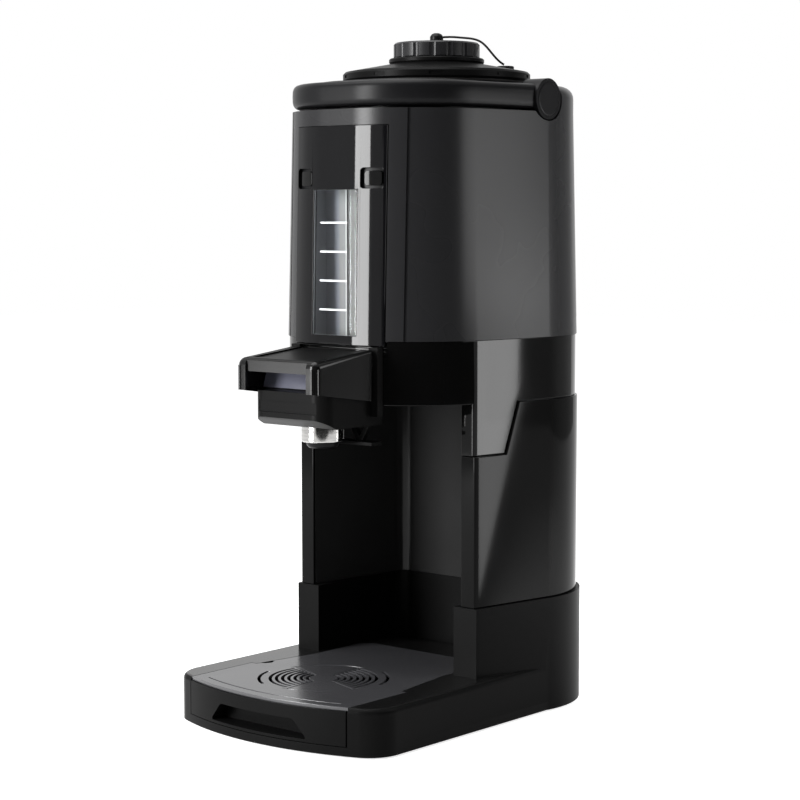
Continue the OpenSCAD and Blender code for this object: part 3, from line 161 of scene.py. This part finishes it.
# Semi-gloss ABS of the bay's liner: the same mould, a shade lighter
bay_black = moulded("semi_gloss_bay_abs", "#1e1e1e", "#252525", 0.07, 1.21, 2.0, 0.02, 120.0, 0.02)
# Satin-polished ABS of the lever: soft-edged reflections
lever_gloss = moulded("polished_lever_abs", "#090909", "#0d0d0d", 0.16, 1.26, 2.0, 0.03, 60.0, 0.02)
# Polypropylene of the body and the cap: matte black with a wide soft sheen
body_black = moulded("matte_pp_black", "#181819", "#1a1a1b", 0.27, 1.24, 1.5, 0.08, 160.0, 0.015)
# Dark grey ABS of the drip cover: smooth, with a sheen at a low angle
tray_grey = moulded("dry_abs_grey", "#2e2e30", "#363638", 0.24, 1.5, 1.4, 0.06, 90.0, 0.02)
# Satin ABS of the platform's top: the stand's black, smoother, with a sheen at a low angle
platform_black = moulded("satin_platform_abs", "#0a0a0a", "#0e0e0e", 0.24, 1.42, 1.6, 0.06, 90.0, 0.02)
# Blue-grey acrylic plate behind the lever's lip: smooth, cold sheen
blue_black = moulded("blue_grey_acrylic", "#484954", "#51525c", 0.2, 1.42, 2.4, 0.02)
# Rubber: dry, slightly brown black
rubber = moulded("nitrile_rubber", "#121111", "#191818", 0.7, 1.3, 1.5, 0.2)
# Rim of the clear pane: painted pale, a painted highlight where the light comes out at its edge
pane_rim_highlight = moulded("polycarbonate_rim_painted_highlight", "#85878a", "#929497", 0.5, 1.4, 1.5, 0.05)
# Screen-printed white ink: flat, faintly uneven
print_white = moulded("white_ink", "#dcdcda", "#e6e6e4", 0.5, 1.4, 1.5, 0.05)


GAUGE_HALF = 30 * MM  # half the width that the stripes are spread over
# Places and tones across the plate: the blue-grey is the plate's own, the pale stripe is a painted highlight of the
# sight tube, and the lighter greys are painted light
GAUGE_TONES_AND_PAINTED_LIGHT = ((0.255, "#7a7d83"), (0.265, "#7c7c7a"), (0.375, "#7c7c7a"), (0.385, "#b4b4b2"), (0.40, "#b4b4b2"),
                 (0.41, "#85837f"))


def gauge_back():
    """Moulded grey plate behind the level window. The blue-grey on the left is the plate's own tone; the pale stripe
    behind the sight tube is a painted highlight of the tube, and the lighter greys right of the blue-grey are painted
    light.
    """
    material, tree = blank("grey_abs_with_painted_light")
    where = add(tree, "ShaderNodeTexCoord")
    across = add(tree, "ShaderNodeSeparateXYZ", None, {"Vector": (where, "Object")})
    cloud = add(tree, "ShaderNodeTexNoise", {"Scale": 1000 / 40.0, "Detail": 3.0}, {"Vector": (where, "Object")})
    place = add(tree, "ShaderNodeMapRange", {"From Min": -GAUGE_HALF, "From Max": GAUGE_HALF},
                {"Value": (across, "X")})
    stripe = add(tree, "ShaderNodeValToRGB", None, {"Fac": (place, "Result")})
    ramp_ends(stripe, 0.0, "#74777d", 1.0, "#85837f")
    for spot, code in GAUGE_TONES_AND_PAINTED_LIGHT:
        stripe.color_ramp.elements.new(spot).color = tone(code)
    mottle = add(tree, "ShaderNodeMixRGB", {"blend_type": "MULTIPLY", "Fac": 0.12},
                 {"Color1": (stripe, "Color"), "Color2": (cloud, "Color")})
    grain = add(tree, "ShaderNodeTexNoise", {"Scale": 1000 / 1.6, "Detail": 2.0}, {"Vector": (where, "Object")})
    relief = add(tree, "ShaderNodeBump", {"Strength": 0.08, "Distance": GRAIN_RELIEF}, {"Height": (grain, "Fac")})
    gloss = add(tree, "ShaderNodeMapRange", {"To Min": 0.42, "To Max": 0.56}, {"Value": (cloud, "Fac")})
    skin = add(tree, "ShaderNodeBsdfPrincipled", {"IOR": 1.36},
               {"Base Color": (mottle, "Color"), "Roughness": (gloss, "Result"), "Normal": (relief, "Normal")})
    add(tree, "ShaderNodeOutputMaterial", None, {"Surface": (skin, "BSDF")})
    return material


inner_grey = gauge_back()


def metal(name, dark, light, rough, streak_mm, stretch):
    """A turned or brushed metal: fine lines round the axis that break the gloss up."""
    material, tree = blank(name)
    where = add(tree, "ShaderNodeTexCoord")
    turned = add(tree, "ShaderNodeMapping", {"Scale": stretch}, {"Vector": (where, "Object")})
    lines = add(tree, "ShaderNodeTexNoise", {"Scale": 1000 / streak_mm, "Detail": 3.0, "Roughness": 0.6},
                {"Vector": (turned, "Vector")})
    colour = add(tree, "ShaderNodeValToRGB", None, {"Fac": (lines, "Fac")})
    ramp_ends(colour, 0.3, dark, 0.7, light)
    gloss = add(tree, "ShaderNodeMapRange", {"To Min": rough * 0.7, "To Max": rough * 1.4},
                {"Value": (lines, "Fac")})
    relief = add(tree, "ShaderNodeBump", {"Strength": 0.05, "Distance": 0.1 * MM}, {"Height": (lines, "Fac")})
    skin = add(tree, "ShaderNodeBsdfPrincipled", {"Metallic": 1.0},
               {"Base Color": (colour, "Color"), "Roughness": (gloss, "Result"), "Normal": (relief, "Normal")})
    add(tree, "ShaderNodeOutputMaterial", None, {"Surface": (skin, "BSDF")})
    return material


# Deep-drawn stainless steel: grey, softly brushed
steel = metal("drawn_stainless_steel", "#8d8f91", "#b4b6b8", 0.28, 1.6, (1.0, 1.0, 0.08))
# Chromed brass of the nozzle: bright, with turned lines round it
chrome = metal("chromed_brass", "#a6a5a3", "#c4c3c1", 0.06, 1.6, (0.08, 0.08, 1.0))


def clear_plastic(name, tint, rough, ior):
    """A thin clear moulding: light passes straight through and the surface mirrors, with faint clouds in its gloss."""
    material, tree = blank(name)
    where = add(tree, "ShaderNodeTexCoord")
    cloud = add(tree, "ShaderNodeTexNoise", {"Scale": 1000 / 30.0, "Detail": 2.0}, {"Vector": (where, "Object")})
    gloss = add(tree, "ShaderNodeMapRange", {"To Min": rough, "To Max": rough + 0.04}, {"Value": (cloud, "Fac")})
    through = add(tree, "ShaderNodeBsdfTransparent", {"Color": tone(tint)})
    mirror = add(tree, "ShaderNodeBsdfGlossy", None, {"Roughness": (gloss, "Result")})
    share = add(tree, "ShaderNodeFresnel", {"IOR": ior})
    skin = add(tree, "ShaderNodeMixShader", None, {0: (share, "Fac"), 1: (through, "BSDF"), 2: (mirror, "BSDF")})
    add(tree, "ShaderNodeOutputMaterial", None, {"Surface": (skin, "Shader")})
    return material


# Clear polycarbonate of the level window
window_clear = clear_plastic("clear_polycarbonate", "#f4f5f6", 0.04, 1.2)
# Clear tube of the level gauge
tube_clear = clear_plastic("clear_sight_tube", "#fafbfb", 0.03, 1.3)


# Modelling helpers
def only(piece):
    """Selects one object alone and makes it active."""
    bpy.ops.object.select_all(action="DESELECT")
    piece.select_set(True)
    bpy.context.view_layer.objects.active = piece


WELD_MM, FLAT_DEG = 0.01, 0.4  # points this near are one, faces this flat are one
SHARP_DEG, EDGE_STEPS = 30.0, 2  # outer edges sharper than this are broken, in so many steps
FOOT_BAND_MM, FOOT_DEG, FOOT_STEPS = 0.3, 50.0, 5  # the same for the inner corners at a foot's height


def dress(name, finish, edge_mm, foot=None):
    """A copy of a CAD node, triangles joined and outer edges broken, which stands for the node.

    foot is (height, radius) in mm: the inner corners at that height are filled with a round."""
    piece = bpy.data.objects.new(name + "_skin", nodes[name].data.copy())
    bpy.context.scene.collection.objects.link(piece)
    only(piece)
    bpy.ops.mesh.customdata_custom_splitnormals_clear()
    bpy.ops.object.mode_set(mode="EDIT")
    bpy.ops.mesh.select_all(action="SELECT")
    bpy.ops.mesh.remove_doubles(threshold=WELD_MM * MM)
    bpy.ops.mesh.dissolve_limited(angle_limit=math.radians(FLAT_DEG))
    bpy.ops.mesh.select_all(action="DESELECT")
    shape = bmesh.from_edit_mesh(piece.data)
    if foot:
        for edge in shape.edges:
            level = all(abs(v.co.z - foot[0] * MM) < FOOT_BAND_MM * MM for v in edge.verts)
            edge.select = (level and len(edge.link_faces) == 2
                           and edge.calc_face_angle_signed() < -math.radians(FOOT_DEG))
        bmesh.update_edit_mesh(piece.data)
        bpy.ops.mesh.bevel(offset=foot[1] * MM, offset_type="OFFSET", segments=FOOT_STEPS, affect="EDGES",
                           clamp_overlap=True)
        bpy.ops.mesh.select_all(action="DESELECT")
        shape = bmesh.from_edit_mesh(piece.data)
    for edge in shape.edges:
        edge.select = len(edge.link_faces) == 2 and edge.calc_face_angle_signed() > math.radians(SHARP_DEG)
    bmesh.update_edit_mesh(piece.data)
    if any(edge.select for edge in shape.edges):
        bpy.ops.mesh.bevel(offset=edge_mm * MM, offset_type="OFFSET", segments=EDGE_STEPS, affect="EDGES",
                           clamp_overlap=True)
    bpy.ops.object.mode_set(mode="OBJECT")
    bpy.ops.object.shade_smooth_by_angle(angle=math.radians(SHARP_DEG))
    even = piece.modifiers.new("even_shading", "WEIGHTED_NORMAL")
    even.keep_sharp = True
    bpy.ops.object.modifier_apply(modifier=even.name)
    piece.data.materials.clear()
    piece.data.materials.append(finish)
    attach(piece, body_of_node[name])
    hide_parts(name)


# Cap tether, laid first: distance out along its line from the lid's axis, height above the cap's roof
TETHER_TURN, TETHER_BASE, TETHER_D = 40.0, 599.1, 2.0
TETHER_ROUTE = [(6, 4), (11, 4.2), (16, 4.1), (21, 3.7), (26, 3.3), (30, 2.9), (34, 2.2), (37.6, 1.0), (41, -0.9),
                (44, -3.5), (47, -6.8), (50.5, -11), (54, -15), (57.5, -18.2), (61, -20.6)]
TETHER_STEPS = 4  # points laid for each one of the route


def lay_tether():
    """The cap's silicone tether: one smooth line through the route's points, from the knob to the anchor."""
    turn = math.radians(TETHER_TURN)
    spots = [at(r * math.cos(turn), r * math.sin(turn), TETHER_BASE + h) for r, h in TETHER_ROUTE]
    line = []
    for i in range(len(spots) - 1):
        a, b, c, d = (spots[max(i - 1, 0)], spots[i], spots[i + 1], spots[min(i + 2, len(spots) - 1)])
        for k in range(TETHER_STEPS):
            u = k / TETHER_STEPS
            line.append(0.5 * (2 * b + (c - a) * u + (2 * a - 5 * b + 4 * c - d) * u ** 2
                               + (3 * b - a - 3 * c + d) * u ** 3))
    line.append(spots[-1])
    curve = bpy.data.curves.new("cap_tether", "CURVE")
    curve.dimensions = "3D"
    curve.bevel_depth = TETHER_D / 2 * MM
    curve.bevel_resolution = 3
    curve.use_fill_caps = True
    spline = curve.splines.new("POLY")
    spline.points.add(len(line) - 1)
    for point, spot in zip(spline.points, line):
        point.co = (*spot, 1.0)
    tether = bpy.data.objects.new("cap_tether", curve)
    bpy.context.scene.collection.objects.link(tether)
    only(tether)
    bpy.ops.object.convert(target="MESH")
    tether = bpy.context.view_layer.objects.active
    bpy.ops.object.shade_smooth_by_angle(angle=math.radians(50))
    tether.data.materials.clear()
    tether.data.materials.append(rubber)
    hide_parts("tether")
    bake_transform(tether)


lay_tether()

# The part's own solids, joined, with their edges broken, each in its finish
DRESSED = [
    ("base_plate", stand_black, 0.6), ("stand_column", semi_gloss, 2.2),
    ("bay_liner", bay_black, 0.8), ("stand_deck", satin_black, 0.4), ("drip_drawer", stand_black, 1.6),
    ("drip_cover", tray_grey, 0.9), ("lower_collar", deep_gloss, 1.4), ("body_shell", body_black, 0.6),
    ("front_frame", satin_black, 0.4), ("gauge_plate", inner_grey, 0.4), ("gauge_cover", gloss_black, 0.6),
    ("gauge_latches", deep_gloss, 0.4), ("shoulder_ring", satin_black, 0.6), ("carry_handle", satin_black, 0.6),
    ("hub_caps", satin_black, 0.4), ("lid", stand_black, 0.5), ("fill_cap", body_black, 0.5),
    ("cap_knob", satin_black, 0.4), ("neck_insert", satin_black, 0.4), ("tether_anchor", satin_black, 0.3),
    ("tap_housing", stand_black, 0.8), ("tap_bracket", stand_black, 0.5), ("tap_plate", blue_black, 0.3),
    ("chrome_nozzle", chrome, 0.5), ("diffuser", satin_black, 0.4), ("container_floor", satin_black, 0.4),
]
SKIRT_FOOT = (42.0, 6.0)  # mm, height of the platform and the round where the skirt meets it
for name, finish, edge in DRESSED:
    dress(name, finish, edge)
dress("stand_base", stand_black, 1.6, foot=SKIRT_FOOT)
dress("push_lever", lever_gloss, 0.8)
dress("gauge_window", window_clear, 0.3)


FACES_UP = 0.85  # a face is a top where its normal rises more than this
EDGE_ON = 0.6  # a face is a rim of the pane where its normal turns to the front less than this
PLATFORM_TOP = 44 * MM


def second_finish(name, finish, chosen):
    """Gives the faces for which chosen(face) is true a finish of their own."""
    mesh = bpy.data.objects[name + "_skin"].data
    mesh.materials.append(finish)
    for face in mesh.polygons:
        face.material_index = int(chosen(face))


# The pane's rim faces get the pale painted highlight
second_finish("gauge_window", pane_rim_highlight, lambda face: abs(face.normal.y) < EDGE_ON)
second_finish("push_lever", stand_black, lambda face: face.normal.z > FACES_UP)
second_finish("stand_base", platform_black,
              lambda face: face.normal.z > FACES_UP and face.center.z < PLATFORM_TOP)

# Hidden pieces and small ones that need no broken edge
PLAIN = {
    "rubber_feet": rubber, "base_screws": steel, "floor_screws": steel, "vessel_cradle": satin_black,
    "sight_tube": tube_clear, "tube_seals": rubber, "level_marks": print_white,
    "vessel_outer": steel, "vessel_inner": steel, "vessel_neck": steel, "vessel_mouth": steel,
    "pivot_pins": steel, "lid_gasket": rubber, "cap_gasket": rubber,
    "outlet_pipe": steel, "outlet_nut": chrome, "lever_pins": steel, "valve_stem": steel, "valve_seal": rubber,
}
for name, finish in PLAIN.items():
    node = nodes[name]
    node.data.materials.clear()
    node.data.materials.append(finish)


def lay_spring():
    """The return spring under the lever: a copy of the node's coil in steel, laid where the node stands."""
    spring = bpy.data.objects.new("return_spring_coil", nodes["return_spring"].data.copy())
    bpy.context.scene.collection.objects.link(spring)
    only(spring)
    spring.data.materials.clear()
    spring.data.materials.append(steel)
    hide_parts("return_spring")
    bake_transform(spring)


lay_spring()


# Studio: white surround, white floor that keeps the shadow, soft lamps
def seen_directly(tree):
    """1 for rays from the camera, off gloss or through glass, which all meet the white surround."""
    path = add(tree, "ShaderNodeLightPath")
    first = add(tree, "ShaderNodeMath", {"operation": "MAXIMUM"},
                {0: (path, "Is Camera Ray"), 1: (path, "Is Glossy Ray")})
    return add(tree, "ShaderNodeMath", {"operation": "MAXIMUM"},
               {0: (first, "Value"), 1: (path, "Is Transmission Ray")})


WHITE = (1, 1, 1, 1)
SURROUND, FILL = 1.0, 0.45  # strength of the surround where it is seen, and where it only lights
PAPER, GLOW = (0.6, 0.6, 0.6, 1), 0.75  # the floor's own tone, and what lifts it to white where it is seen
FLOOR_WIDE = 12.0


def studio():
    """The white surround and the white floor."""
    world = bpy.data.worlds.new("white_studio")
    bpy.context.scene.world = world
    world.use_nodes = True
    tree = world.node_tree
    tree.nodes.clear()
    direct = seen_directly(tree)
    white = add(tree, "ShaderNodeBackground", {"Color": WHITE, "Strength": SURROUND})
    fill = add(tree, "ShaderNodeBackground", {"Color": WHITE, "Strength": FILL})
    both = add(tree, "ShaderNodeMixShader", None,
               {0: (direct, "Value"), 1: (fill, "Background"), 2: (white, "Background")})
    add(tree, "ShaderNodeOutputWorld", None, {"Surface": (both, "Shader")})

    material, tree = blank("white_sweep")
    direct = seen_directly(tree)
    paper = add(tree, "ShaderNodeBsdfDiffuse", {"Color": PAPER})
    strength = add(tree, "ShaderNodeMath", {"operation": "MULTIPLY", 1: GLOW}, {0: (direct, "Value")})
    glow = add(tree, "ShaderNodeEmission", {"Color": WHITE}, {"Strength": (strength, "Value")})
    both = add(tree, "ShaderNodeAddShader", None, {0: (paper, "BSDF"), 1: (glow, "Emission")})
    add(tree, "ShaderNodeOutputMaterial", None, {"Surface": (both, "Shader")})
    bpy.ops.object.select_all(action="DESELECT")
    bpy.ops.mesh.primitive_plane_add(size=FLOOR_WIDE, location=(0, 0, 0))
    floor = bpy.context.active_object
    floor.name = "studio_floor"
    floor.data.materials.append(material)


def curtain(name, centre, turn, width, height, shade):
    """A cloth that only the gloss shows: it stays dark on that side, and no light or shadow changes."""
    material, tree = blank(name + "_cloth")
    cloth = add(tree, "ShaderNodeBsdfDiffuse", {"Color": tone(shade)})
    add(tree, "ShaderNodeOutputMaterial", None, {"Surface": (cloth, "BSDF")})
    bpy.ops.object.select_all(action="DESELECT")
    bpy.ops.mesh.primitive_plane_add(size=1.0, location=centre,
                                     rotation=(math.radians(90), 0, math.radians(turn)))
    sheet = bpy.context.active_object
    sheet.name = name
    sheet.scale = (width, height, 1)
    sheet.data.materials.append(material)
    sheet.visible_camera = False
    sheet.visible_diffuse = False
    sheet.visible_shadow = False


def lamp(name, spot, target, width, height, radiance, roll=0.0):
    """A soft box of even radiance, facing its target, turned by roll degrees in its own plane."""
    data = bpy.data.lights.new(name, "AREA")
    data.shape = "RECTANGLE"
    data.size, data.size_y = width, height
    data.energy = radiance * 4 * width * height
    box = bpy.data.objects.new(name, data)
    bpy.context.scene.collection.objects.link(box)
    box.location = spot
    box.rotation_mode = "QUATERNION"
    box.rotation_quaternion = ((Vector(target) - Vector(spot)).to_track_quat("-Z", "Y")
                               @ Quaternion((0, 0, 1), math.radians(roll)))
    box.visible_camera = False


studio()
# Cloths behind the camera, on its right and far behind the object on the right
curtain("curtain_front", at(1362, -1664, 1300), 39.3, 3.2, 2.6, "#2c2c2c")
curtain("curtain_side", at(2590, -227, 1200), 85.0, 3.0, 2.4, "#2c2c2c")
curtain("curtain_right", at(1190, 2030, 1200), 152.0, 2.6, 2.4, "#a0a0a0")
# A tall strip left of the front: the white stripe on the gauge cover
LEFT, LEFT_AWAY, LEFT_HIGH = math.radians(-111.0), 1900, 650
lamp("strip_left", at(LEFT_AWAY * math.cos(LEFT), LEFT_AWAY * math.sin(LEFT), LEFT_HIGH), at(0, 0, LEFT_HIGH),
     0.62, 1.6, 25.0)
# A low tilted panel right of the object that runs away from it: the stripe on the housing and column
PANEL_HIGH, PANEL_AIM, PANEL_ROLL = 265, 500, 10.0
near = Vector((102.3, -70)) + 450 * Vector((0.8358, 0.5491))
far = Vector((108.6, -19.5)) + 1300 * Vector((0.8246, 0.5657))
centre, along = (near + far) / 2, (far - near).normalized()
face = Vector((-along.y, along.x))
aim = (centre.x + PANEL_AIM * face.x, centre.y + PANEL_AIM * face.y)
lamp("panel_right", at(centre.x, centre.y, PANEL_HIGH), at(*aim, PANEL_HIGH), (far - near).length * MM, 0.34, 12.0,
     PANEL_ROLL)
# A small soft box near the right shoulder: the broad sheen on the body
SIDE, SIDE_AWAY, SIDE_X, SIDE_Y = math.radians(27.0), 420, 100, -72
lamp("box_right", at(SIDE_X + SIDE_AWAY * math.cos(SIDE), SIDE_Y + SIDE_AWAY * math.sin(SIDE), 480),
     at(SIDE_X, SIDE_Y, 440), 0.24, 0.26, 4.2)
# A low soft box in front: the grey lip of the lever
FRONT, FRONT_AWAY = math.radians(-119.8), 1800
lamp("box_front", at(FRONT_AWAY * math.cos(FRONT), FRONT_AWAY * math.sin(FRONT), 190), at(0, 0, 300), 0.7, 0.07, 9.5)
# A large soft box overhead: the tops and the soft shadow
lamp("top_box", at(-300, -400, 2100), at(0, 0, 400), 1.6, 1.6, 4.0)

bpy.context.scene.view_settings.view_transform = "Standard"
